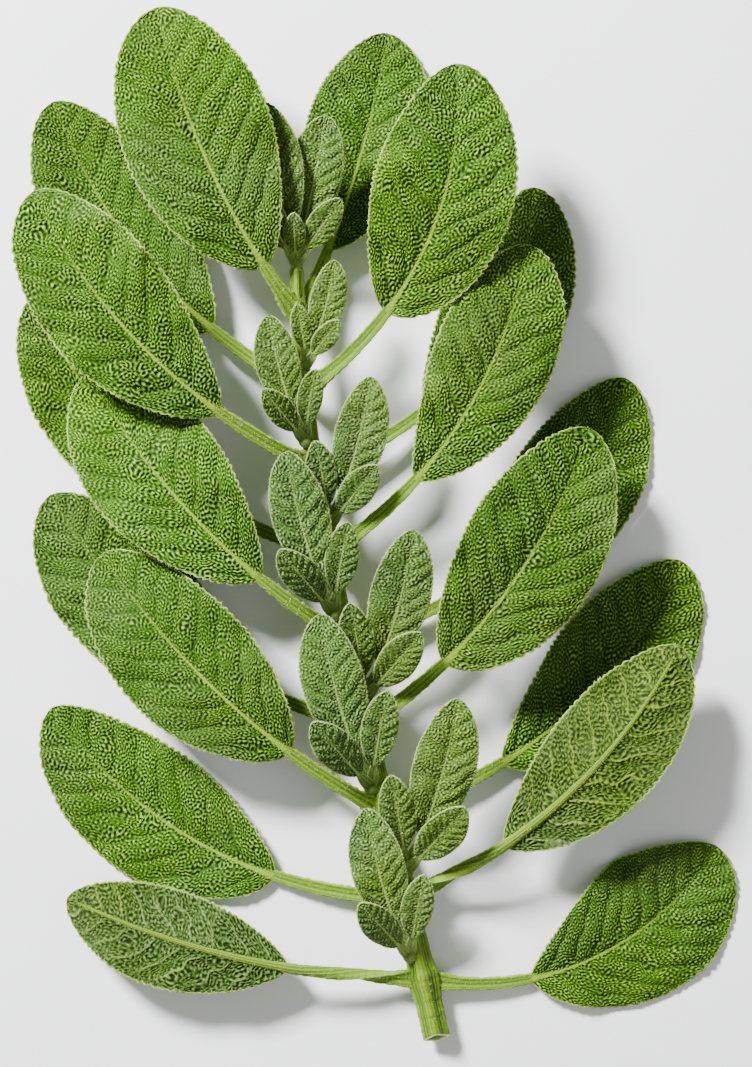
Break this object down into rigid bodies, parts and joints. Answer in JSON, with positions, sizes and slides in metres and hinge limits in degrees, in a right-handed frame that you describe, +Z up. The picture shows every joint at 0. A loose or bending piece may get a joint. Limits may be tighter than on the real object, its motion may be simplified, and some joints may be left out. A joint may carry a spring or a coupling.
{
  "type": "sage sprig",
  "caption": "Cut sprig of garden sage lying down: a four-angled stem with opposite pairs of stalked, blunt, pebbled leaves, small leaf tufts in their axils and a young crown.",
  "frame": {"origin": "on the surface the sprig lies on, under the middle of its bounding box", "axes": "+Y from the cut foot of the stem to the crown, +X to the right seen from above, +Z up from the surface"},
  "size_m": [0.1478, 0.2074, 0.0255],
  "materials": {
    "leaf": "soft matt, pebbled and finely hairy sage green",
    "young_leaf": "soft matt, paler and more hairy than the large leaves",
    "stem": "green, ribbed and downy"
  },
  "bodies": {
    "root": {"stem": "stem", "leaf_1_left": "leaf", "leaf_1_right": "leaf", "leaf_2_left": "leaf", "leaf_2_right": "leaf", "leaf_3_left": "leaf", "leaf_3_right": "leaf", "leaf_4_left": "leaf", "leaf_4_right": "leaf", "leaf_5_left": "leaf", "leaf_5_right": "leaf", "leaf_6_left": "leaf", "leaf_6_right": "leaf", "leaf_7_left": "leaf", "leaf_7_right": "leaf", "leaf_8_left": "leaf", "leaf_8_right": "leaf", "leaf_9_left": "leaf", "leaf_9_right": "leaf", "tuft_1_left": "young_leaf", "tuft_2_right": "young_leaf", "tuft_3_left": "young_leaf", "tuft_4_right": "young_leaf", "tuft_5_left": "young_leaf", "tuft_6_right": "young_leaf", "tuft_7_left": "young_leaf", "tuft_8_right": "young_leaf", "crown": "young_leaf"}
  },
  "joints": []
}
